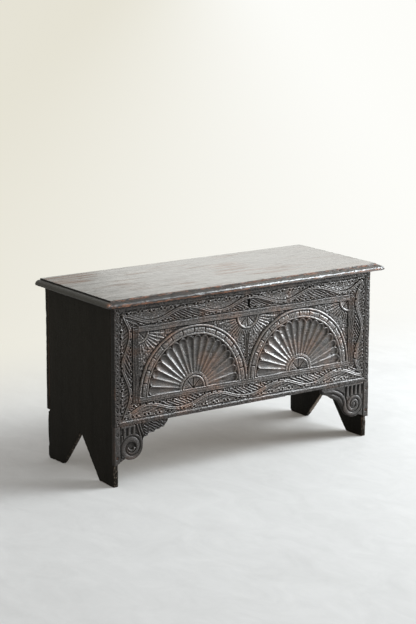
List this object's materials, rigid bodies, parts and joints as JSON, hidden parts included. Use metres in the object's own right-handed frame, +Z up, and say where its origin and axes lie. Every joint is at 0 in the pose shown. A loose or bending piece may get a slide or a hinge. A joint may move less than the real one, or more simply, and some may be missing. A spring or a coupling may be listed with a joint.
{
  "type": "coffer chest",
  "caption": "Boarded wooden coffer with a hinged moulded lid, lunette-carved front, cut-out feet, corner brackets, an inner till and a sliding-bolt lock.",
  "frame": {"origin": "floor level under the centre of the closed chest's bounding box", "axes": "+X to the right along the carved front as seen from before it, +Y from the front to the back, +Z up"},
  "size_m": [1.0686, 0.4464, 0.59],
  "materials": {
    "carved_oak": "waxed, worn",
    "end_oak": "waxed, dark",
    "lid_oak": "waxed, worn",
    "inner_oak": "dry, unfinished",
    "iron": "wrought, dark"
  },
  "bodies": {
    "case": {"front_board": "carved_oak", "back_board": "end_oak", "left_end_board": "end_oak", "right_end_board": "end_oak", "floor_board": "inner_oak", "left_bracket": "carved_oak", "right_bracket": "carved_oak", "till_side": "inner_oak", "till_bottom": "inner_oak", "lock_plate": "iron", "lock_case": "iron", "lock_drill_pin": "iron", "back_strap_left": "iron", "hinge_pin_left": "iron", "back_strap_right": "iron", "hinge_pin_right": "iron", "front_nail_left_1": "iron", "front_nail_left_2": "iron", "front_nail_left_3": "iron", "front_nail_right_1": "iron", "front_nail_right_2": "iron", "front_nail_right_3": "iron", "back_nail_left_1": "iron", "back_nail_left_2": "iron", "back_nail_left_3": "iron", "back_nail_right_1": "iron", "back_nail_right_2": "iron", "back_nail_right_3": "iron", "bracket_nail_left_1": "iron", "bracket_nail_left_2": "iron", "bracket_nail_right_1": "iron", "bracket_nail_right_2": "iron"},
    "lid": {"lid_board": "lid_oak", "lid_staple": "iron", "lid_strap_left": "iron", "lid_strap_right": "iron"},
    "till_cover": {"till_lid": "inner_oak"},
    "bolt": {"lock_bolt": "iron"}
  },
  "joints": [
    {"name": "lid_hinge", "type": "hinge", "parent": "case", "child": "lid", "pos_m": [0, 0.2175, 0.5626], "axis": [-1, 0, 0], "range_deg": [0, 100]},
    {"name": "till_lid_hinge", "type": "hinge", "parent": "case", "child": "till_cover", "pos_m": [-0.47325, 0, 0.4451], "axis": [0, -1, 0], "range_deg": [0, 91]},
    {"name": "lock_bolt_slide", "type": "slide", "parent": "case", "child": "bolt", "axis": [1, 0, 0], "range_m": [0, 0.016]}
  ]
}
